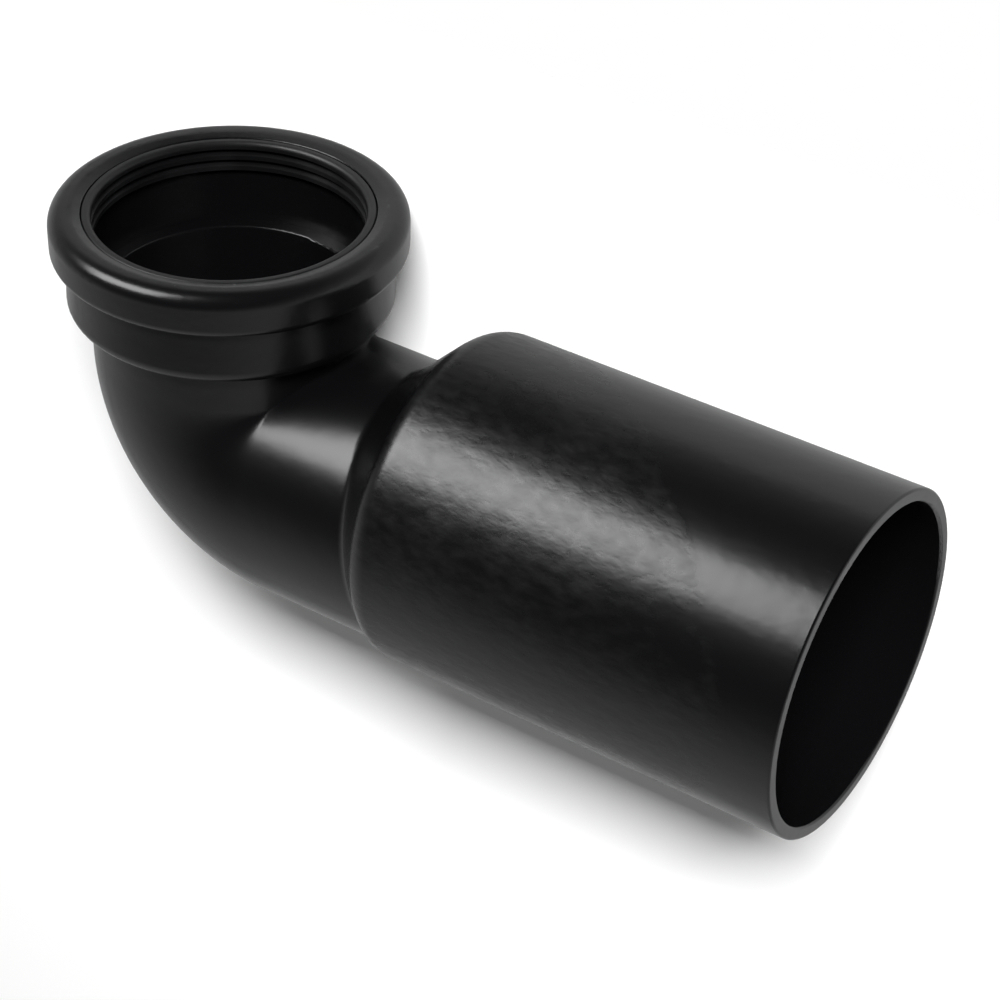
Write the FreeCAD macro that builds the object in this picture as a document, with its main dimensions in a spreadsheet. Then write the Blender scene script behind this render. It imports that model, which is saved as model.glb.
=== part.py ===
import FreeCAD, Part
import math
import os
import Sketcher

# Drain pipe bend: a ring-seal socket turned up, a tight elbow, and a wider plain spigot whose
# axis is set off towards the socket, so that the two pipes are nearly level on the far side.
# The model is drawn from the corner where the elbow's two centre lines cross: the spigot leaves
# along +X and the socket opens along +Y. The finished pieces are then moved so that the middle
# of the spigot's end is the origin.

# Driving sizes in millimetres and degrees: name, value, what it measures
SIZES = [
    ("pipe_diameter", 90.0, "outside of the elbow, and of the pipe that the socket takes"),
    ("elbow_wall", 4.0, "wall of the elbow"),
    ("bend_radius", 36.0, "centre line of the bend, tighter than the pipe, so the throat folds"),
    ("leg_length", 51.5, "end of the bend to the corner of the shoulder and the spigot"),
    ("shoulder_slope", 45.0, "shoulder cone against the spigot axis"),
    ("shoulder_wall", 4.0, "wall of the shoulder, square to its slope"),
    ("shoulder_round", 10.0, "rounding where the shoulder runs into the spigot"),
    ("shoulder_fillet", 5.0, "fillet where the shoulder runs out on the elbow"),
    ("spigot_diameter", 110.0, "outside of the spigot, a standard drain size"),
    ("spigot_wall", 4.3, "wall of the spigot"),
    ("spigot_length", 143.5, "corner of the shoulder to the spigot's end"),
    ("spigot_edge_round", 0.8, "rounding of the spigot's cut end"),
    ("far_side_step", 0.6, "elbow's outside to the spigot's, on the side away from the socket"),
    ("neck_length", 13.2, "end of the bend to the foot of the socket's step"),
    ("socket_wall", 7.0, "wall of the socket at its step"),
    ("socket_flare", 1.2, "socket's outside at its step, wider than under the collar, on the radius"),
    ("socket_bore_gap", 0.6, "room around the pipe in the socket, on the radius"),
    ("socket_length", 18.3, "plain outside of the socket, from its step to the collar"),
    ("socket_step_slope", 75.0, "step from the elbow to the socket, against the socket axis"),
    ("socket_step_round", 4.5, "rounding of that step's outer edge"),
    ("socket_step_fillet", 2.0, "fillet at that step's foot"),
    ("stop_rise", 1.8, "outer corner of the step up to the ledge that stops the pipe"),
    ("stop_round", 0.8, "rounding of the ledge's inner edge"),
    ("groove_depth", 6.9, "seal's groove, outward from the socket's bore"),
    ("collar_wall", 4.2, "wall of the collar outside the groove"),
    ("collar_foot", 1.9, "collar below the groove"),
    ("collar_round", 4.8, "rounding of the collar's outer top edge"),
    ("collar_under_round", 3.0, "rounding of the collar's lower edge"),
    ("bead_width", 7.2, "collar's outside to where its top starts to slope down to the mouth"),
    ("bead_round", 6.0, "rounding where that slope starts"),
    ("mouth_slope", 17.0, "slope of the collar's top down to the mouth"),
    ("mouth_lip", 6.2, "lip that holds the seal down, inward from the groove"),
    ("mouth_lip_height", 3.5, "underside of that lip to the collar's top"),
    ("mouth_round", 0.5, "rounding of the mouth's edge"),
    ("seal_gap", 0.3, "room around the seal's foot and neck"),
    ("seal_bore_gap", 0.5, "room around the pipe between the seal's lips, on the radius"),
    ("foot_land", 0.7, "seal's bore below its last lip"),
    ("lip_grip", 2.0, "relaxed lip inside the pipe's outside, on the radius"),
    ("lip_width", 1.5, "crest of a lip"),
    ("lip_flank", 0.8, "height of a lip's sloping flank"),
    ("lip_gap", 0.7, "flat between two lips"),
    ("rim_height", 2.5, "thick rim at the seal's top"),
    ("rim_drop", 1.0, "rim below the collar's top"),
    ("rim_round", 1.6, "rounding of the rim's inner edge"),
    ("rim_edge_round", 0.5, "rounding of the rim's outer edge"),
]
LOWER_LIPS = 2

# Places that follow from the sizes, radii first and then distances from the elbow's corner
PLACES = [
    ("elbow_r", "pipe_diameter / 2", "outside of the elbow"),
    ("elbow_bore_r", "elbow_r - elbow_wall", "inside of the elbow"),
    ("spigot_r", "spigot_diameter / 2", "outside of the spigot"),
    ("spigot_bore_r", "spigot_r - spigot_wall", "inside of the spigot"),
    ("socket_bore_r", "elbow_r + socket_bore_gap", "socket's bore round the pipe"),
    ("socket_r", "socket_bore_r + socket_wall", "outside of the socket at its step"),
    ("groove_r", "socket_bore_r + groove_depth", "groove for the seal's foot"),
    ("collar_r", "groove_r + collar_wall", "outside of the collar"),
    ("bead_r", "collar_r - bead_width", "inner end of the collar's level top"),
    ("mouth_r", "groove_r - mouth_lip", "opening in the collar's top"),
    ("seal_bore_r", "elbow_r + seal_bore_gap", "seal between its lips"),
    ("lip_r", "elbow_r - lip_grip", "opening through the relaxed lips"),
    ("spigot_offset", "spigot_r - elbow_r - far_side_step", "spigot axis above the elbow's"),
    ("shoulder_corner", "bend_radius + leg_length", "corner of the shoulder and the spigot"),
    ("leg_end", "shoulder_corner + shoulder_round", "end of the elbow's leg in the spigot"),
    ("spigot_end", "shoulder_corner + spigot_length", "spigot's cut end"),
    ("step_foot", "bend_radius + neck_length", "foot of the socket's step"),
    ("step_rise", "(socket_r - elbow_r) / tan(socket_step_slope * 1deg)", "height of that step"),
    ("step_top", "step_foot + step_rise", "lower end of the socket's plain outside"),
    ("stop_ledge", "step_top + stop_rise", "ledge that stops the pipe"),
    ("collar_underside", "step_top + socket_length", "lower face of the collar"),
    ("groove_floor", "collar_underside + collar_foot", "seat of the seal's foot"),
    ("lip_pitch", "lip_width + 2 * lip_flank + lip_gap", "from one lip to the next"),
    ("last_lip", "groove_floor + foot_land + lip_flank", "lower edge of the last lip's crest"),
    ("rim_underside", f"last_lip + {LOWER_LIPS} * lip_pitch", "lower edge of the rim's crest"),
    ("rim_top", "rim_underside + rim_height", "top of the seal"),
    ("socket_mouth", "rim_top + rim_drop", "top of the collar"),
    ("groove_top", "socket_mouth - mouth_lip_height", "underside of the mouth's lip"),
    ("mouth_fall", "tan(mouth_slope * 1deg)", "fall of the collar's top for each millimetre inward"),
    ("mouth_edge", "socket_mouth - (bead_r - mouth_r) * mouth_fall", "collar's top at the mouth"),
]

# Two places closer than this are the same
NEAR = 0.001


def make_sheet(doc):
    """Write the sizes and the places that follow from them to a sheet, one named cell each."""
    sheet = doc.addObject("Spreadsheet::Sheet", "sizes")
    cells = [(name, str(value), meaning) for name, value, meaning in SIZES]
    cells += [(name, f"={formula}", meaning) for name, formula, meaning in PLACES]
    for row, (name, content, meaning) in enumerate(cells, 1):
        sheet.set(f"A{row}", name)
        sheet.set(f"B{row}", content)
        sheet.setAlias(f"B{row}", name)
        sheet.set(f"C{row}", meaning)
    doc.recompute()
    return sheet


def make_body(doc, label):
    """Start one piece and move it from the elbow's corner to the part's own origin."""
    body = doc.addObject("PartDesign::Body", label)
    body.Label = label
    body.setExpression("Placement.Base.x", "-sizes.spigot_end")
    body.setExpression("Placement.Base.y", "-sizes.spigot_offset")
    return body


def size(expression):
    """The present value of an expression in the sheet's sizes."""
    value = FreeCAD.ActiveDocument.sizes.evalExpression(expression)
    return float(getattr(value, "Value", value))


def make_sketch(body, name, role, **shifts):
    """A sketch on one of the piece's own planes, shifted along its axes by expressions."""
    sketch = body.newObject("Sketcher::SketchObject", name)
    plane = [item for item in body.Origin.OriginFeatures if item.Role == role][0]
    sketch.AttachmentSupport = (plane, [""])
    sketch.MapMode = "FlatFace"
    for axis, expression in shifts.items():
        sketch.setExpression(f"AttachmentOffset.Base.{axis}", expression)
    return sketch


def hold(sketch, kind, *place_and_expression):
    """Add a measured constraint and bind it to an expression."""
    *place, expression = place_and_expression
    number = sketch.addConstraint(Sketcher.Constraint(kind, *place, size(expression)))
    sketch.setExpression(f"Constraints[{number}]", expression)


def draw_outline(sketch, corners):
    """A closed outline of straight sides: each corner has two places and may have a rounding."""
    points = [FreeCAD.Vector(size(corner[0]), size(corner[1]), 0) for corner in corners]
    for start, end in zip(points, points[1:] + points[:1]):
        sketch.addGeometry(Part.LineSegment(start, end))
    for side in range(len(corners)):
        following = (side + 1) % len(corners)
        sketch.addConstraint(Sketcher.Constraint("Coincident", side, 2, following, 1))
    arcs = {}
    for side, (_, _, *rounding) in enumerate(corners):
        if rounding:
            sketch.fillet(side, 1, size(rounding[0]), True, True)
            arcs[side] = sketch.GeometryCount - 2
    for side, (across, up, *rounding) in enumerate(corners):
        place = side
        if rounding:
            hold(sketch, "Radius", arcs[side], rounding[0])
            place = arcs[side] + 1
        if across == "0":
            sketch.addConstraint(Sketcher.Constraint("PointOnObject", place, 1, -2))
        else:
            hold(sketch, "DistanceX", -1, 1, place, 1, across)
        if up == "0":
            sketch.addConstraint(Sketcher.Constraint("PointOnObject", place, 1, -1))
        else:
            hold(sketch, "DistanceY", -1, 1, place, 1, up)


def turn(body, kind, name, sketch, axis):
    """A full turn of a sketch about one of its own axes."""
    feature = body.newObject(f"PartDesign::{kind}", name)
    feature.Profile = sketch
    feature.ReferenceAxis = (sketch, [axis])
    feature.Angle = 360
    sketch.Visibility = False
    FreeCAD.ActiveDocument.recompute()
    return feature


def round_edges(body, name, edges, radius):
    """Round the named edges of the piece as it stands."""
    base = body.Tip
    feature = body.newObject("PartDesign::Fillet", name)
    feature.Base = (base, edges)
    feature.setExpression("Radius", radius)
    FreeCAD.ActiveDocument.recompute()
    return feature


def curved_edges(body):
    """Name and edge for each curved edge of the piece as it stands."""
    for number, edge in enumerate(body.Tip.Shape.Edges, 1):
        if not edge.Degenerated and not isinstance(edge.Curve, Part.Line):
            yield f"Edge{number}", edge


def rings(body, centre, radius):
    """Names of the circular edges with this centre and radius."""
    found = []
    for name, edge in curved_edges(body):
        circle = edge.Curve
        if not isinstance(circle, Part.Circle):
            continue
        if abs(circle.Radius - radius) < NEAR and circle.Center.distanceToPoint(centre) < NEAR:
            found.append(name)
    return found


def socket_rings(body, height, radius):
    """Circular edges round the socket's axis."""
    return rings(body, FreeCAD.Vector(0, size(height), 0), size(radius))


def spigot_rings(body, reach, radius):
    """Circular edges round the spigot's axis."""
    return rings(body, FreeCAD.Vector(size(reach), size("sizes.spigot_offset"), 0), size(radius))


def shoulder_outline(corner, radius, start_radius):
    """Half outline of a cone that opens at the shoulder's slope and runs on as the spigot."""
    start = f"{corner} - ({radius} - {start_radius}) / tan(sizes.shoulder_slope * 1deg)"
    return [
        (start, "0"),
        (start, start_radius),
        (corner, radius, "sizes.shoulder_round"),
        ("sizes.spigot_end", radius),
        ("sizes.spigot_end", "0"),
    ]


def add_spigot(body):
    """The wide spigot and its shoulder, turned about the offset axis."""
    sketch = make_sketch(body, "spigot_outline", "XY_Plane", y="sizes.spigot_offset")
    inside_the_elbow = "(sizes.elbow_bore_r - sizes.spigot_offset)"
    corners = shoulder_outline("sizes.shoulder_corner", "sizes.spigot_r", inside_the_elbow)
    draw_outline(sketch, corners)
    turn(body, "Revolution", "spigot", sketch, "H_Axis")


def leg(body, kind, name, radius):
    """A round bar along the elbow's outlet leg, added to the piece or cut from it."""
    sketch = make_sketch(body, f"{name}_outline", "XY_Plane")
    corners = [
        ("sizes.bend_radius", "0"),
        ("sizes.bend_radius", radius),
        ("sizes.leg_end", radius),
        ("sizes.leg_end", "0"),
    ]
    draw_outline(sketch, corners)
    turn(body, kind, name, sketch, "H_Axis")


def cut_disc(sketch, disc):
    """The edge of a disc that reaches past the bend's axis, cut off straight along that axis."""
    fold = math.acos(-disc.Center.x / disc.Radius)
    arc = sketch.addGeometry(Part.ArcOfCircle(disc, fold, 2 * math.pi - fold))
    ends = [sketch.getPoint(arc, 2), sketch.getPoint(arc, 1)]
    axis_side = sketch.addGeometry(Part.LineSegment(*ends))
    sketch.addConstraint(Sketcher.Constraint("Coincident", arc, 2, axis_side, 1))
    sketch.addConstraint(Sketcher.Constraint("Coincident", axis_side, 2, arc, 1))
    sketch.addConstraint(Sketcher.Constraint("PointOnObject", axis_side, 1, -2))
    sketch.addConstraint(Sketcher.Constraint("PointOnObject", axis_side, 2, -2))
    return arc


def bend(body, kind, name, radius):
    """The quarter turn: the pipe's disc swung about the bend's axis, where a wide pipe folds."""
    shift = "sizes.bend_radius"
    sketch = make_sketch(body, f"{name}_outline", "YZ_Plane", x=shift, z=shift)
    centre = FreeCAD.Vector(-size("sizes.bend_radius"), 0, 0)
    disc = Part.Circle(centre, FreeCAD.Vector(0, 0, 1), size(radius))
    throat_folds = size(radius) > size("sizes.bend_radius")
    edge = cut_disc(sketch, disc) if throat_folds else sketch.addGeometry(disc)
    sketch.addConstraint(Sketcher.Constraint("PointOnObject", edge, 3, -1))
    hold(sketch, "DistanceX", edge, 3, -1, 1, "sizes.bend_radius")
    hold(sketch, "Radius", edge, radius)
    feature = turn(body, kind, name, sketch, "V_Axis")
    feature.Angle = 90
    feature.Reversed = True
    FreeCAD.ActiveDocument.recompute()


def add_socket(body):
    """The upright socket: plain wall, sloping step to the elbow, and the collar round its mouth."""
    sketch = make_sketch(body, "socket_outline", "XY_Plane")
    corners = [
        ("0", "sizes.bend_radius"),
        ("sizes.elbow_r", "sizes.bend_radius"),
        ("sizes.elbow_r", "sizes.step_foot", "sizes.socket_step_fillet"),
        ("sizes.socket_r", "sizes.step_top", "sizes.socket_step_round"),
        ("sizes.socket_r - sizes.socket_flare", "sizes.collar_underside"),
        ("sizes.collar_r", "sizes.collar_underside", "sizes.collar_under_round"),
        ("sizes.collar_r", "sizes.socket_mouth", "sizes.collar_round"),
        ("sizes.bead_r", "sizes.socket_mouth", "sizes.bead_round"),
        ("0", "sizes.socket_mouth - sizes.bead_r * sizes.mouth_fall"),
    ]
    draw_outline(sketch, corners)
    turn(body, "Revolution", "socket", sketch, "V_Axis")


def shoulder_foot(body):
    """Names of the edges where the shoulder runs out on the elbow's leg."""
    found = []
    for name, edge in curved_edges(body):
        points = edge.discretize(7)
        on_leg = all(abs(math.hypot(p.y, p.z) - size("sizes.elbow_r")) < NEAR for p in points)
        past_bend = all(p.x > size("sizes.bend_radius") + NEAR for p in points)
        if on_leg and past_bend:
            found.append(name)
    return found


def cut_spigot_bore(body):
    """The spigot's bore and the cone that leads to it, a wall's thickness inside the shoulder."""
    sketch = make_sketch(body, "spigot_bore_outline", "XY_Plane", y="sizes.spigot_offset")
    shift = "sizes.shoulder_wall / sin(sizes.shoulder_slope * 1deg)"
    taper = "sizes.spigot_wall / tan(sizes.shoulder_slope * 1deg)"
    corner = f"(sizes.shoulder_corner + {shift} - {taper})"
    inside_the_bore = "(sizes.elbow_bore_r - sizes.spigot_offset - sizes.elbow_wall)"
    draw_outline(sketch, shoulder_outline(corner, "sizes.spigot_bore_r", inside_the_bore))
    turn(body, "Groove", "spigot_bore", sketch, "H_Axis")


def cut_socket_bore(body):
    """The socket's inside: elbow bore, stop ledge, pipe bore, seal groove and mouth."""
    sketch = make_sketch(body, "socket_bore_outline", "XY_Plane")
    corners = [
        ("0", "sizes.bend_radius"),
        ("sizes.elbow_bore_r", "sizes.bend_radius"),
        ("sizes.elbow_bore_r", "sizes.stop_ledge"),
        ("sizes.socket_bore_r", "sizes.stop_ledge"),
        ("sizes.socket_bore_r", "sizes.groove_floor"),
        ("sizes.groove_r", "sizes.groove_floor"),
        ("sizes.groove_r", "sizes.groove_top"),
        ("sizes.mouth_r", "sizes.groove_top"),
        ("sizes.mouth_r", "sizes.socket_mouth"),
        ("0", "sizes.socket_mouth"),
    ]
    draw_outline(sketch, corners)
    turn(body, "Groove", "socket_bore", sketch, "V_Axis")
    mouth_edge = socket_rings(body, "sizes.mouth_edge", "sizes.mouth_r")
    round_edges(body, "mouth_round", mouth_edge, "sizes.mouth_round")
    ledge_edge = socket_rings(body, "sizes.stop_ledge", "sizes.elbow_bore_r")
    round_edges(body, "stop_round", ledge_edge, "sizes.stop_round")


def make_bend_body(doc):
    """The moulded bend, first as a solid form and then bored out."""
    body = make_body(doc, "bend_body")
    add_spigot(body)
    leg(body, "Revolution", "leg", "sizes.elbow_r")
    round_edges(body, "shoulder_fillet", shoulder_foot(body), "sizes.shoulder_fillet")
    bend(body, "Revolution", "bend", "sizes.elbow_r")
    add_socket(body)
    cut_spigot_bore(body)
    leg(body, "Groove", "leg_bore", "sizes.elbow_bore_r")
    bend(body, "Groove", "bend_bore", "sizes.elbow_bore_r")
    cut_socket_bore(body)
    end_edges = spigot_rings(body, "sizes.spigot_end", "sizes.spigot_r")
    end_edges += spigot_rings(body, "sizes.spigot_end", "sizes.spigot_bore_r")
    round_edges(body, "spigot_edge_round", end_edges, "sizes.spigot_edge_round")
    return body


def make_seal_ring(doc):
    """The rubber lip seal: a foot in the collar's groove, a thick rim, and lips that grip the pipe."""
    body = make_body(doc, "seal_ring")
    sketch = make_sketch(body, "seal_outline", "XY_Plane")
    foot_r = "sizes.groove_r - sizes.seal_gap"
    foot_top = "sizes.groove_top - sizes.seal_gap"
    neck_r = "sizes.mouth_r - sizes.seal_gap"
    corners = [
        ("sizes.seal_bore_r", "sizes.groove_floor"),
        (foot_r, "sizes.groove_floor"),
        (foot_r, foot_top),
        (neck_r, foot_top),
        (neck_r, "sizes.rim_top", "sizes.rim_edge_round"),
        ("sizes.lip_r", "sizes.rim_top", "sizes.rim_round"),
        ("sizes.lip_r", "sizes.rim_underside"),
        ("sizes.seal_bore_r", "sizes.rim_underside - sizes.lip_flank"),
    ]
    for lip in range(1, LOWER_LIPS + 1):
        crest_under = f"sizes.rim_underside - {lip} * sizes.lip_pitch"
        crest_top = f"{crest_under} + sizes.lip_width"
        corners += [
            ("sizes.seal_bore_r", f"{crest_top} + sizes.lip_flank"),
            ("sizes.lip_r", crest_top),
            ("sizes.lip_r", crest_under),
            ("sizes.seal_bore_r", f"{crest_under} - sizes.lip_flank"),
        ]
    draw_outline(sketch, corners)
    turn(body, "Revolution", "seal", sketch, "V_Axis")
    return body


def write_pieces(doc, bodies):
    """Check the whole document and write each piece to its own file."""
    for item in doc.Objects:
        if "Invalid" in item.State or "Error" in item.State:
            raise RuntimeError(f"{item.Label} failed: {item.State}")
    os.makedirs("parts", exist_ok=True)
    for body in bodies:
        shape = body.Shape
        if shape.isNull() or not shape.isValid() or len(shape.Solids) != 1:
            raise RuntimeError(f"{body.Label} isn't one valid solid")
        shape.exportStep(f"parts/{body.Label}.step")
        box = shape.optimalBoundingBox(False)
        spans = f"{box.XLength:.1f} x {box.YLength:.1f} x {box.ZLength:.1f} mm"
        print(body.Label, spans, f"{shape.Volume / 1000:.1f} cm3")


def main():
    doc = FreeCAD.newDocument("drain_pipe_bend")
    make_sheet(doc)
    bodies = [make_bend_body(doc), make_seal_ring(doc)]
    doc.recompute()
    write_pieces(doc, bodies)


main()
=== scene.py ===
# %% [markdown]
# A drain pipe bend.
# The real thing is one black plastic moulding: a socket with a rubber lip seal, a tight elbow, a sloping
# shoulder that sits off to one side, and a wide plain spigot. This lesson starts from the finished shapes,
# gives them the skin of moulded plastic and of rubber, lays the bend on a white table and lights it with
# soft lamps.

# %% Load the finished shapes
import math
import bpy
from mathutils import Matrix, Vector


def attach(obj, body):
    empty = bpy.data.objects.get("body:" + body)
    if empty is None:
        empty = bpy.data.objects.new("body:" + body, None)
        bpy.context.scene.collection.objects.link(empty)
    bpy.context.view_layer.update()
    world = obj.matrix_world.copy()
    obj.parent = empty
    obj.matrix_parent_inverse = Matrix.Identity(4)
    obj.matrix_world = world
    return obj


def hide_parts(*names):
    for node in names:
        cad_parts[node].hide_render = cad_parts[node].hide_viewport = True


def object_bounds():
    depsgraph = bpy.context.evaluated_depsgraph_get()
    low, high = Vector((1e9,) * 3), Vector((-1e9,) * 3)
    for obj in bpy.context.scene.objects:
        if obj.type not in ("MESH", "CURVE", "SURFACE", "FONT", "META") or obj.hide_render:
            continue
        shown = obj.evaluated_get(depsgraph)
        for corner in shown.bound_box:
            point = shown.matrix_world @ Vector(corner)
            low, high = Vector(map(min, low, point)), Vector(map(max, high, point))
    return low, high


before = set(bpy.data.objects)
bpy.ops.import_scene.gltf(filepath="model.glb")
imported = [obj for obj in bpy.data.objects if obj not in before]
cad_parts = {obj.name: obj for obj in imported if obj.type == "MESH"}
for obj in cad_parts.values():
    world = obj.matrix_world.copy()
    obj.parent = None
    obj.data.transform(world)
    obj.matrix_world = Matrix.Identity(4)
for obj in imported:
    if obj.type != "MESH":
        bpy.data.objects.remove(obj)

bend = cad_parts["bend_body"]
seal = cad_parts["seal_ring"]
shape_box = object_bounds()
print("shapes:", bend.name, len(bend.data.polygons), "faces,", seal.name, len(seal.data.polygons), "faces")

# %% [markdown]
# One skin for each shape.
# A moulding has one unbroken skin, but the finished shapes come as patches of triangles that are only laid
# edge to edge. Each shape is copied and its patches are joined. Smoothing the joined skin afresh would also
# smooth the crease in the elbow's throat, so each corner of a face keeps the shading that it came with.

# %% Join each shape's patches
JOIN_WITHIN_M = 0.000002


def joined_skin(shape, name):
    """A copy of a shape with its patches joined, which stands for that shape."""
    skin = bpy.data.objects.new(name, shape.data.copy())
    bpy.context.scene.collection.objects.link(skin)
    kept = skin.data.attributes.new("shading", "FLOAT_VECTOR", "CORNER")
    for corner, normal in zip(kept.data, skin.data.corner_normals):
        corner.vector = normal.vector
    bpy.ops.object.select_all(action="DESELECT")
    skin.select_set(True)
    bpy.context.view_layer.objects.active = skin
    bpy.ops.mesh.customdata_custom_splitnormals_clear()
    bpy.ops.object.mode_set(mode="EDIT")
    bpy.ops.mesh.select_all(action="SELECT")
    bpy.ops.mesh.mark_sharp(clear=True)
    bpy.ops.mesh.remove_doubles(threshold=JOIN_WITHIN_M)
    bpy.ops.object.mode_set(mode="OBJECT")
    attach(skin, "root")
    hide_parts(shape.name)
    print(name, "has", len(skin.data.vertices), "points where its shape had", len(shape.data.vertices))
    return skin


bend_skin = joined_skin(bend, "bend_skin")
seal_skin = joined_skin(seal, "seal_skin")

# %% [markdown]
# Slivers in the throat.
# Where the elbow folds tightly, some two hundred thin faces lie face down on the skin around them and would
# show as dark dashes. Cutting them out would leave holes, so they stay, and only their shading is made
# good: the points that they touch take the lie of the faces there, and a sliver is shaded for the side that
# it shows.


# %% Find the folded slivers
def faces_at_points(skin):
    """The faces that meet at each point of a skin, with the corner of each."""
    meeting = [[] for _ in skin.data.vertices]
    for face in skin.data.polygons:
        for point, corner in zip(face.vertices, face.loop_indices):
            meeting[point].append((corner, face))
    return meeting


def folded_slivers(skin, meeting, shading):
    """The faces that lie face down. The shading at the points that they touch is made good."""
    spoiled = [
        face
        for face in skin.data.polygons
        if any(shading[corner].dot(face.normal) < 0 for corner in face.loop_indices)
    ]
    folded = set()
    for face in spoiled:
        around = Vector()
        for point in face.vertices:
            for _, other in meeting[point]:
                around += other.normal * other.area
        if around.dot(face.normal) < 0:
            folded.add(face.index)
    for point in {point for face in spoiled for point in face.vertices}:
        for corner, face in meeting[point]:
            shading[corner] = -face.normal if face.index in folded else face.normal.copy()
    return folded


# %% [markdown]
# Shading across the seams.
# Where two patches meet, each was shaded without a look at the other, so a gloss would break along the
# seam. At a gentle seam the corners that meet are given one shading between them. Large faces have the most
# say in it, so that flats and straight walls stay true. Sharp edges and the crease are left as they are.

# %% Even out the shading at the seams
GENTLE_SEAM_TURN = math.radians(30)


def shading_at_point(faces, shading):
    """A shading for each corner at a point, from all the corners there that turn gently from it."""
    evened = {}
    for corner, _ in faces:
        total = Vector()
        for other, face in faces:
            if shading[other].angle(shading[corner], math.pi) < GENTLE_SEAM_TURN:
                total += shading[other] * face.area
        evened[corner] = total.normalized()
    return evened


def even_out_seams(skin):
    """Shade a joined skin evenly across its gentle seams."""
    kept = skin.data.attributes["shading"]
    shading = [corner.vector.copy() for corner in kept.data]
    skin.data.attributes.remove(kept)
    meeting = faces_at_points(skin)
    folded = folded_slivers(skin, meeting, shading)
    evened = {}
    for faces in meeting:
        evened.update(shading_at_point(faces, shading))
    for face in folded:
        for corner in skin.data.polygons[face].loop_indices:
            evened[corner].negate()
    skin.data.normals_split_custom_set([evened[corner] for corner in range(len(shading))])
    print(skin.name, "is evened out, with", len(folded), "folded slivers")


even_out_seams(bend_skin)
even_out_seams(seal_skin)

# %% [markdown]
# Colours.
# A colour picked on a screen is an sRGB hex value, but a shader reckons in linear light. Black plastic is
# where the difference matters most: typed in as it stands, a near-black would come out dark grey. One
# function turns every hex value of this lesson into linear light.


# %% Turn a hex colour into linear light
def linear_colour(hex_value):
    """The linear colour, with full alpha, of an sRGB hex value such as "#161617"."""
    channels = [int(hex_value[start:start + 2], 16) / 255 for start in (1, 3, 5)]
    lights = [c / 12.92 if c <= 0.04045 else ((c + 0.055) / 1.055) ** 2.4 for c in channels]
    return (*lights, 1.0)


print("near-black in linear light:", [round(light, 4) for light in linear_colour("#161617")[:3]])

# %% [markdown]
# Node trees.
# A material, the table's finish and the room are all trees of nodes. Wiring them line by line in code
# hides what they do, so one small function adds a node, sets its settings and links its inputs. A link is
# written as the output socket that feeds the input.


# %% Add a node with its settings and links
def add_node(tree, kind, inputs=None, **settings):
    """A new node of a kind. Each input is a value, or the output socket that is linked to it."""
    node = tree.nodes.new(kind)
    for name, value in settings.items():
        setattr(node, name, value)
    for name, value in (inputs or {}).items():
        if isinstance(value, bpy.types.NodeSocket):
            tree.links.new(value, node.inputs[name])
        else:
            node.inputs[name].default_value = value
    return node


# %% [markdown]
# The plastic.
# The bend is polyethylene coloured with carbon black and moulded in a polished steel mould. That gives a
# near-black, satin gloss skin: it shows the room softly, more strongly along its edges. A new material with
# one shader is the start; the finish grows from it in the next cells.

# %% Start the moulded black polyethylene
POLYETHYLENE_IOR = 1.51

polyethylene = bpy.data.materials.new("moulded_black_polyethylene")
polyethylene.use_nodes = True
plastic_tree = polyethylene.node_tree
plastic_tree.nodes.clear()
bend_place = add_node(plastic_tree, "ShaderNodeTexCoord")
plastic = add_node(plastic_tree, "ShaderNodeBsdfPrincipled", {"IOR": POLYETHYLENE_IOR})
add_node(plastic_tree, "ShaderNodeOutputMaterial", {"Surface": plastic.outputs["BSDF"]})
print("plastic: refractive index", POLYETHYLENE_IOR)

# %% [markdown]
# Sizes of a pattern.
# A noise texture's scale says how many of its patches fit in a metre. A maker knows the size of a patch in
# millimetres, so a helper turns one into the other.

# %% Turn a patch size into a scale
MM_PER_METRE = 1000


def patches_per_metre(size_mm):
    """The scale of a pattern whose patches have a size in millimetres."""
    return MM_PER_METRE / size_mm


print("patches of 4 mm in a metre:", patches_per_metre(4))

# %% [markdown]
# Where the plastic is scuffed.
# The spigot has been pushed into pipes and stacked, so most of its outside is scuffed, up to a slanting
# line. Past that line its end is still nearly smooth. A texture could be painted by hand, but a ramp over
# the place on the bend draws the same border and needs no picture. How far a place lies along the slant
# says on which side of the line it is.

# %% Draw the line of the smooth end
SMOOTH_END_SLANT = (1.0, 0.0, -1.19)
SMOOTH_END_START_M = -0.0835
BORDER_WIDTH_M = 0.004
SCUFFED_SHARE = 1.0
SMOOTH_SHARE = 0.4

past_the_line = add_node(
    plastic_tree,
    "ShaderNodeVectorMath",
    {0: bend_place.outputs["Object"], 1: SMOOTH_END_SLANT},
    operation="DOT_PRODUCT",
)
before_the_end = add_node(
    plastic_tree,
    "ShaderNodeMapRange",
    {
        "Value": past_the_line.outputs["Value"],
        "From Min": SMOOTH_END_START_M,
        "From Max": SMOOTH_END_START_M + BORDER_WIDTH_M,
        "To Min": SCUFFED_SHARE,
        "To Max": SMOOTH_SHARE,
    },
)
print("smooth end: scuffs at", SMOOTH_SHARE, "of their depth")

# %% [markdown]
# The elbow.
# The elbow is never pushed into a pipe, so it stays smooth too. It needs no slanting line: a second ramp
# along the spigot's axis, which starts on the shoulder, tells the two apart.

# %% Leave out the elbow
SPIGOT_START_M = -0.15

along = add_node(plastic_tree, "ShaderNodeSeparateXYZ", {"Vector": bend_place.outputs["Object"]})
on_the_spigot = add_node(
    plastic_tree,
    "ShaderNodeMapRange",
    {
        "Value": along.outputs["X"],
        "From Min": SPIGOT_START_M,
        "From Max": SPIGOT_START_M + BORDER_WIDTH_M,
        "To Min": SMOOTH_SHARE,
        "To Max": SCUFFED_SHARE,
    },
)
print("elbow: smooth up to", SPIGOT_START_M, "m")

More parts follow.
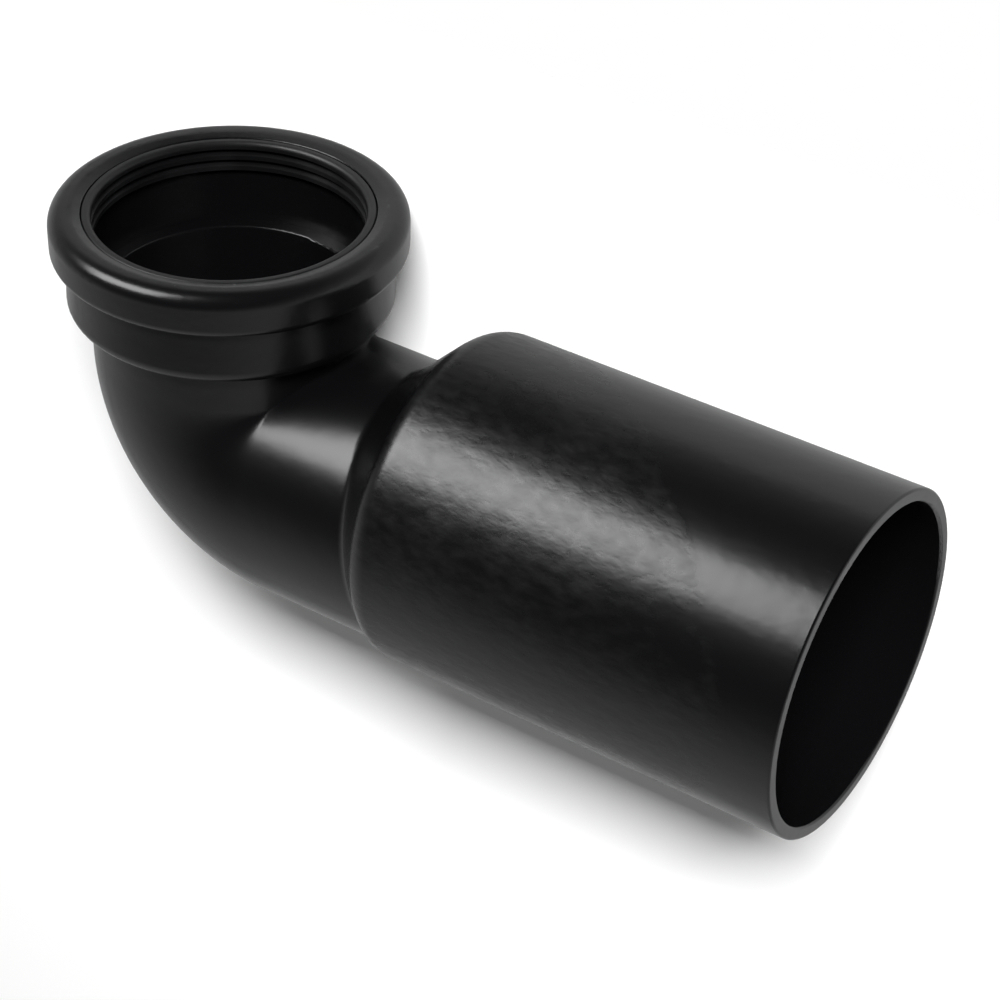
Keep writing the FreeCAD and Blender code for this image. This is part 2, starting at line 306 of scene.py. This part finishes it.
# %% [markdown]
# The inside.
# Nothing rubs the bore either. Its wall lies nearer to the spigot's axis than the outside does, so a third
# ramp over the distance from that axis leaves it out. Multiplied, the three ramps give the scuffed part.

# %% Leave out the inside and mark the scuffed part
ACROSS_THE_AXIS = (0, 1, 1)
OUTSIDE_START_M = 0.0515
OUTSIDE_BORDER_M = BORDER_WIDTH_M / 2

across = add_node(
    plastic_tree,
    "ShaderNodeVectorMath",
    {0: bend_place.outputs["Object"], 1: ACROSS_THE_AXIS},
    operation="MULTIPLY",
)
off_the_axis = add_node(
    plastic_tree, "ShaderNodeVectorMath", {0: across.outputs["Vector"]}, operation="LENGTH"
)
on_the_outside = add_node(
    plastic_tree,
    "ShaderNodeMapRange",
    {
        "Value": off_the_axis.outputs["Value"],
        "From Min": OUTSIDE_START_M,
        "From Max": OUTSIDE_START_M + OUTSIDE_BORDER_M,
        "To Min": SMOOTH_SHARE,
        "To Max": SCUFFED_SHARE,
    },
)
outside_of_spigot = add_node(
    plastic_tree,
    "ShaderNodeMath",
    {0: on_the_spigot.outputs["Result"], 1: on_the_outside.outputs["Result"]},
    operation="MULTIPLY",
)
scuffed_part = add_node(
    plastic_tree,
    "ShaderNodeMath",
    {0: before_the_end.outputs["Result"], 1: outside_of_spigot.outputs["Value"]},
    operation="MULTIPLY",
)
print("scuffed part: from", SPIGOT_START_M, "m to the slanting line, outside only")

# %% [markdown]
# Scuffs.
# Small scuffs break up the gloss where the light falls on the spigot. They could be drawn one by one, but
# they are far too many. A noise that is drawn out a little along the spigot, turned slightly off its axis,
# gives short rubbed marks instead, and a second, broad noise makes them deeper in some places.

# %% Draw the scuffs
SCUFF_WIDTH_MM = 3.0
SCUFF_SHRINK_ALONG = 0.55
SCUFF_SLANT = (0.0, 0.12, 0.15)
SCUFF_DETAIL = 2.0
WORN_PLACE_MM = 45

slanted = add_node(
    plastic_tree,
    "ShaderNodeMapping",
    {
        "Vector": bend_place.outputs["Object"],
        "Rotation": SCUFF_SLANT,
        "Scale": (SCUFF_SHRINK_ALONG, 1, 1),
    },
)
scuff_strokes = add_node(
    plastic_tree,
    "ShaderNodeTexNoise",
    {
        "Vector": slanted.outputs["Vector"],
        "Scale": patches_per_metre(SCUFF_WIDTH_MM),
        "Detail": SCUFF_DETAIL,
    },
)
worn_places = add_node(
    plastic_tree,
    "ShaderNodeTexNoise",
    {
        "Vector": bend_place.outputs["Object"],
        "Scale": patches_per_metre(WORN_PLACE_MM),
        "Detail": SCUFF_DETAIL,
    },
)
worn_strokes = add_node(
    plastic_tree,
    "ShaderNodeMath",
    {0: scuff_strokes.outputs["Fac"], 1: worn_places.outputs["Fac"]},
    operation="MULTIPLY",
)
scuff_depth = add_node(
    plastic_tree,
    "ShaderNodeMath",
    {0: worn_strokes.outputs["Value"], 1: scuffed_part.outputs["Value"]},
    operation="MULTIPLY",
)
print("scuffs:", SCUFF_WIDTH_MM, "mm wide")

# %% [markdown]
# Colour of the plastic.
# Carbon black is the same all through, but a scuffed place scatters a little more light and looks greyer.
# A colour ramp turns the depth of the scuffs into two near-blacks.

# %% Colour the plastic
CLEAN_BLACK = "#080809"
SCUFFED_BLACK = "#0e0e0f"
BLACK_UP_TO_DEPTH = 0.18
GREYER_FROM_DEPTH = 0.45

plastic_colour = add_node(plastic_tree, "ShaderNodeValToRGB", {"Fac": scuff_depth.outputs["Value"]})
plastic_colour.color_ramp.elements[0].position = BLACK_UP_TO_DEPTH
plastic_colour.color_ramp.elements[0].color = linear_colour(CLEAN_BLACK)
plastic_colour.color_ramp.elements[1].position = GREYER_FROM_DEPTH
plastic_colour.color_ramp.elements[1].color = linear_colour(SCUFFED_BLACK)
plastic_tree.links.new(plastic_colour.outputs["Color"], plastic.inputs["Base Color"])
print("plastic:", CLEAN_BLACK, "to", SCUFFED_BLACK)

# %% [markdown]
# Gloss of the plastic.
# A polished mould leaves a satin skin, and the scuffs blur what it shows. One shine all over would look
# like wet paint, so a ramp turns the depth of the scuffs into a duller or clearer gloss.

# %% Set the gloss of the plastic
CLEAN_ROUGHNESS = 0.26
SCUFFED_ROUGHNESS = 0.38
CLEAR_UP_TO_DEPTH = 0.15
DULL_FROM_DEPTH = 0.45

plastic_roughness = add_node(
    plastic_tree,
    "ShaderNodeMapRange",
    {
        "Value": scuff_depth.outputs["Value"],
        "From Min": CLEAR_UP_TO_DEPTH,
        "From Max": DULL_FROM_DEPTH,
        "To Min": CLEAN_ROUGHNESS,
        "To Max": SCUFFED_ROUGHNESS,
    },
)
plastic_tree.links.new(plastic_roughness.outputs["Result"], plastic.inputs["Roughness"])
print("plastic: roughness", CLEAN_ROUGHNESS, "to", SCUFFED_ROUGHNESS)

# %% [markdown]
# Waves in the skin.
# Thick plastic shrinks unevenly as it cools, so the skin is slightly wavy and the edges of its highlights
# wander. Real waves on the mesh would need millions of faces. Two bumps, one for the waves and one for the
# scuffs, bend the light in the same way.

# %% Make the skin wavy
WAVE_SIZE_MM = 7
WAVE_DETAIL = 1.0
WAVE_DEPTH_M = 0.00006
SCUFF_DEPTH_M = 0.0002

waves = add_node(
    plastic_tree,
    "ShaderNodeTexNoise",
    {
        "Vector": bend_place.outputs["Object"],
        "Scale": patches_per_metre(WAVE_SIZE_MM),
        "Detail": WAVE_DETAIL,
    },
)
wave_bump = add_node(
    plastic_tree, "ShaderNodeBump", {"Height": waves.outputs["Fac"], "Distance": WAVE_DEPTH_M}
)
scuff_bump = add_node(
    plastic_tree,
    "ShaderNodeBump",
    {
        "Height": scuff_depth.outputs["Value"],
        "Distance": SCUFF_DEPTH_M,
        "Normal": wave_bump.outputs["Normal"],
    },
)
plastic_tree.links.new(scuff_bump.outputs["Normal"], plastic.inputs["Normal"])
bend_skin.material_slots[0].material = polyethylene
print("plastic: waves of", WAVE_SIZE_MM, "mm")

# %% [markdown]
# The rubber.
# The lip seal is moulded rubber filled with carbon black. It is as dark as the plastic but duller, with a
# faint grey bloom where the rubber's wax has come to the surface. A bloom has no edges to draw, so a broad
# noise stands for it, and the next cells turn that noise into colour and gloss.

# %% Start the moulded black rubber
RUBBER_IOR = 1.52
BLOOM_SIZE_MM = 12
BLOOM_DETAIL = 5.0

rubber_material = bpy.data.materials.new("moulded_black_rubber")
rubber_material.use_nodes = True
rubber_tree = rubber_material.node_tree
rubber_tree.nodes.clear()
seal_place = add_node(rubber_tree, "ShaderNodeTexCoord")
rubber = add_node(rubber_tree, "ShaderNodeBsdfPrincipled", {"IOR": RUBBER_IOR})
add_node(rubber_tree, "ShaderNodeOutputMaterial", {"Surface": rubber.outputs["BSDF"]})
bloom = add_node(
    rubber_tree,
    "ShaderNodeTexNoise",
    {
        "Vector": seal_place.outputs["Object"],
        "Scale": patches_per_metre(BLOOM_SIZE_MM),
        "Detail": BLOOM_DETAIL,
    },
)
print("rubber: bloom in patches of", BLOOM_SIZE_MM, "mm")

# %% [markdown]
# Colour and gloss of the rubber.
# Where the wax lies, the rubber is a little greyer and shows the room less clearly. The same noise feeds a
# colour ramp and a ramp of roughness, so that both change in the same places.

# %% Colour the rubber and set its gloss
RUBBER_BLACK = "#0a0a0b"
RUBBER_BLOOM = "#141415"
BLACK_UP_TO_BLOOM = 0.4
GREYER_FROM_BLOOM = 0.75
BARE_ROUGHNESS = 0.42
BLOOM_ROUGHNESS = 0.52
CLEAR_UP_TO_BLOOM = 0.35
DULL_FROM_BLOOM = 0.7

rubber_colour = add_node(rubber_tree, "ShaderNodeValToRGB", {"Fac": bloom.outputs["Fac"]})
rubber_colour.color_ramp.elements[0].position = BLACK_UP_TO_BLOOM
rubber_colour.color_ramp.elements[0].color = linear_colour(RUBBER_BLACK)
rubber_colour.color_ramp.elements[1].position = GREYER_FROM_BLOOM
rubber_colour.color_ramp.elements[1].color = linear_colour(RUBBER_BLOOM)
rubber_tree.links.new(rubber_colour.outputs["Color"], rubber.inputs["Base Color"])
rubber_roughness = add_node(
    rubber_tree,
    "ShaderNodeMapRange",
    {
        "Value": bloom.outputs["Fac"],
        "From Min": CLEAR_UP_TO_BLOOM,
        "From Max": DULL_FROM_BLOOM,
        "To Min": BARE_ROUGHNESS,
        "To Max": BLOOM_ROUGHNESS,
    },
)
rubber_tree.links.new(rubber_roughness.outputs["Result"], rubber.inputs["Roughness"])
print("rubber:", RUBBER_BLACK, "to", RUBBER_BLOOM, "and roughness", BARE_ROUGHNESS, "to", BLOOM_ROUGHNESS)

# %% [markdown]
# Grain of the rubber.
# The seal's mould leaves a fine grain on the rubber. Modelled, it would need far too many faces, so it is a
# bump. The real grain is about 0.1 mm, too fine to show, so it is drawn as coarse as it needs to be.

# %% Give the rubber its grain
GRAIN_SIZE_MM = 0.6
GRAIN_DETAIL = 1.0
GRAIN_DEPTH_M = 0.00001

grain = add_node(
    rubber_tree,
    "ShaderNodeTexNoise",
    {
        "Vector": seal_place.outputs["Object"],
        "Scale": patches_per_metre(GRAIN_SIZE_MM),
        "Detail": GRAIN_DETAIL,
    },
)
grain_bump = add_node(
    rubber_tree, "ShaderNodeBump", {"Height": grain.outputs["Fac"], "Distance": GRAIN_DEPTH_M}
)
rubber_tree.links.new(grain_bump.outputs["Normal"], rubber.inputs["Normal"])
seal_skin.material_slots[0].material = rubber_material
print("rubber: grain of", GRAIN_SIZE_MM, "mm")

# %% [markdown]
# The table.
# The bend can't stand on its elbow, so it lies on its side. It touches the table along the underside of the
# spigot and at the lowest point of the collar, which is a little wider. A level plane would leave the
# spigot hanging just above it, so the table leans by the small angle that meets both. The two radii are
# read from the bend's box: the spigot reaches furthest to the back, and the collar furthest up.

# %% Lay the table under the bend
COLLAR_CONTACT_Y_M = 0.068
TABLE_FAR_EDGE_Y_M = 0.12
TABLE_SIZE_M = 3.0

lowest_corner, highest_corner = shape_box
spigot_radius = -lowest_corner.y
collar_radius = highest_corner.z
table_lean = -(collar_radius - spigot_radius) / COLLAR_CONTACT_Y_M
table_middle = (0, TABLE_FAR_EDGE_Y_M - TABLE_SIZE_M / 2, 0)
bpy.ops.object.select_all(action="DESELECT")
bpy.ops.mesh.primitive_plane_add(size=TABLE_SIZE_M, location=table_middle)
table = bpy.context.object
table.matrix_world = (
    Matrix.Translation((0, 0, -spigot_radius)) @ Matrix.Rotation(table_lean, 4, "X") @ table.matrix_world
)
table.name = "table"
print("table leans by", round(table_lean, 4), "radians")

# %% [markdown]
# The table's finish.
# The table is covered with a white matt sheet, which shows the shadow and hides where the table ends. A
# sheet that is just as white in the gloss would turn the rims of the bend grey. So the camera sees it pure
# white, and the plastic sees it a little greyer, which keeps the rims as dark as they are on the real one.

# %% Paint the table
PURE_WHITE = "#ffffff"
SHEET_IN_THE_GLOSS = "#b8b8b8"
# A mix node has several sockets of each name, so those for colours are told by their number
MIX_FIRST_COLOUR = 6
MIX_SECOND_COLOUR = 7
MIX_MIXED_COLOUR = 2

white_sheet = bpy.data.materials.new("white_matt_sheet")
white_sheet.use_nodes = True
sheet_tree = white_sheet.node_tree
sheet_tree.nodes.clear()
sheet_ray = add_node(sheet_tree, "ShaderNodeLightPath")
sheet_colour = add_node(
    sheet_tree,
    "ShaderNodeMix",
    {
        "Factor": sheet_ray.outputs["Is Camera Ray"],
        MIX_FIRST_COLOUR: linear_colour(SHEET_IN_THE_GLOSS),
        MIX_SECOND_COLOUR: linear_colour(PURE_WHITE),
    },
    data_type="RGBA",
)
matt_white = add_node(
    sheet_tree, "ShaderNodeBsdfDiffuse", {"Color": sheet_colour.outputs[MIX_MIXED_COLOUR]}
)
add_node(sheet_tree, "ShaderNodeOutputMaterial", {"Surface": matt_white.outputs["BSDF"]})
table.data.materials.append(white_sheet)
print("table:", PURE_WHITE, "to the camera,", SHEET_IN_THE_GLOSS, "in the gloss")

# %% [markdown]
# The room.
# Glossy black plastic is mostly a picture of the room around it. Behind the bend stands a white sweep, and
# the camera's side of the room is dark, so the bend's edges are pale and its middle is black. A ramp over
# the direction of view gives the room both halves.

# %% Make the two halves of the room
CAMERA_SIDE = (0.0, 0.76, 0.65)
SWEEP_ENDS = -0.25
DARK_STARTS = 0.62
WHITE_SWEEP = "#bbbbbb"
DARK_ROOM = "#202020"

room = bpy.context.scene.world or bpy.data.worlds.new("room")
bpy.context.scene.world = room
room.use_nodes = True
room_tree = room.node_tree
room_tree.nodes.clear()
direction = add_node(room_tree, "ShaderNodeTexCoord")
towards_camera = add_node(
    room_tree,
    "ShaderNodeVectorMath",
    {0: direction.outputs["Generated"], 1: CAMERA_SIDE},
    operation="DOT_PRODUCT",
)
room_side = add_node(
    room_tree,
    "ShaderNodeMapRange",
    {"Value": towards_camera.outputs["Value"], "From Min": SWEEP_ENDS, "From Max": DARK_STARTS},
    interpolation_type="SMOOTHSTEP",
)
room_colour = add_node(room_tree, "ShaderNodeValToRGB", {"Fac": room_side.outputs["Result"]})
room_colour.color_ramp.elements[0].color = linear_colour(WHITE_SWEEP)
room_colour.color_ramp.elements[1].color = linear_colour(DARK_ROOM)
print("room:", WHITE_SWEEP, "behind,", DARK_ROOM, "in front")

# %% [markdown]
# The background.
# The picture has a plain white ground. A brighter room would also light the bend, so only the camera's own
# rays see white, and all other light comes from the two halves of the room.

# %% Show the camera a white ground
lit_room = add_node(room_tree, "ShaderNodeBackground", {"Color": room_colour.outputs["Color"]})
seen_white = add_node(room_tree, "ShaderNodeBackground", {"Color": linear_colour(PURE_WHITE)})
room_ray = add_node(room_tree, "ShaderNodeLightPath")
seen_room = add_node(
    room_tree,
    "ShaderNodeMixShader",
    {
        0: room_ray.outputs["Is Camera Ray"],
        1: lit_room.outputs["Background"],
        2: seen_white.outputs["Background"],
    },
)
add_node(room_tree, "ShaderNodeOutputWorld", {"Surface": seen_room.outputs["Shader"]})
print("background:", PURE_WHITE)


# %% [markdown]
# Aiming.
# Lamps and cameras both look along their own minus Z axis. A small helper builds the place and the turn of
# either from where it is, what it looks at and which way its top points.


# %% Aim a lamp or a camera
def aimed(place, target, top):
    """The matrix of a lamp or camera at a place that looks at a target, with its top turned one way."""
    back = (Vector(place) - Vector(target)).normalized()
    side = Vector(top).cross(back).normalized()
    up = back.cross(side)
    turn = Matrix((side, up, back)).transposed()
    return Matrix.Translation(Vector(place)) @ turn.to_4x4()


level_view = aimed(place=(0, -1, 0), target=(0, 0, 0), top=(0, 0, 1))
print("the back of a level view points along", [round(value, 2) for value in level_view.col[2]])

# %% [markdown]
# The lamps.
# Studio lamps are soft boxes on stands. A rectangular area lamp is the same thing, so one helper hangs such
# a lamp in a direction from the spigot. The lamps light the bend, and the camera doesn't see them.

# %% Hang a lamp
LAMP_TARGET_M = (-0.07, 0.0, 0.0)
LAMP_TOP = (0, -0.7, 0.7)


def hang_lamp(name, towards, distance, width, height, watts):
    """A soft rectangular lamp in a direction from the spigot."""
    lamp = bpy.data.lights.new(name, "AREA")
    lamp.shape = "RECTANGLE"
    lamp.size = width
    lamp.size_y = height
    lamp.energy = watts
    holder = bpy.data.objects.new(name, lamp)
    bpy.context.scene.collection.objects.link(holder)
    place = Vector(LAMP_TARGET_M) + Vector(towards).normalized() * distance
    holder.matrix_world = aimed(place, LAMP_TARGET_M, LAMP_TOP)
    holder.visible_camera = False
    print(name, "hangs at", [round(value, 2) for value in place], "with", watts, "W")
    return holder


# %% [markdown]
# The window.
# A wide soft window gives the broad highlight along the spigot. It lies where a mirror on the spigot would
# show it to the camera. It is there for the gloss alone, so it throws no second shadow on the table.

# %% Hang the window
WINDOW_TOWARDS = (-0.54, 0.689, 0.483)
WINDOW_DISTANCE_M = 1.3
WINDOW_WIDTH_M = 0.9
WINDOW_HEIGHT_M = 0.62
WINDOW_WATTS = 15.0

window_lamp = hang_lamp(
    "window_lamp",
    WINDOW_TOWARDS,
    WINDOW_DISTANCE_M,
    WINDOW_WIDTH_M,
    WINDOW_HEIGHT_M,
    WINDOW_WATTS,
)
window_lamp.visible_diffuse = False

# %% [markdown]
# The high lamp.
# A second soft lamp from higher up lights the table and shortens the shadow. In the gloss it would be a
# second highlight, which the real bend doesn't show, so it is kept out of there.

# %% Hang the high lamp
HIGH_LAMP_TOWARDS = (0.345, 0.73, 0.59)
HIGH_LAMP_DISTANCE_M = 3.5
HIGH_LAMP_WIDTH_M = 1.2
HIGH_LAMP_HEIGHT_M = 0.6
HIGH_LAMP_WATTS = 237.0

high_lamp = hang_lamp(
    "high_lamp",
    HIGH_LAMP_TOWARDS,
    HIGH_LAMP_DISTANCE_M,
    HIGH_LAMP_WIDTH_M,
    HIGH_LAMP_HEIGHT_M,
    HIGH_LAMP_WATTS,
)
high_lamp.visible_glossy = False

# %% [markdown]
# The camera.
# The picture was taken from above and in front of the spigot's end. The lens is a long one, so the bend's
# two ends look nearly the same size. The standard view shows each colour as it was written.

# %% Set the camera
CAMERA_PLACE_M = (0.21842, 0.46850, 0.54315)
CAMERA_TARGET_M = (-0.12315, 0.01001, 0.00548)
CAMERA_TOP = (-0.346, 0.811, -0.472)
LENS_MM = 91.907
SENSOR_WIDTH_MM = 36

camera_data = bpy.data.cameras.new("camera")
camera_data.lens = LENS_MM
camera_data.sensor_width = SENSOR_WIDTH_MM
camera = bpy.data.objects.new("camera", camera_data)
bpy.context.scene.collection.objects.link(camera)
camera.matrix_world = aimed(CAMERA_PLACE_M, CAMERA_TARGET_M, CAMERA_TOP)
bpy.context.scene.camera = camera
bpy.context.scene.view_settings.view_transform = "Standard"
print("camera: lens", LENS_MM, "mm")
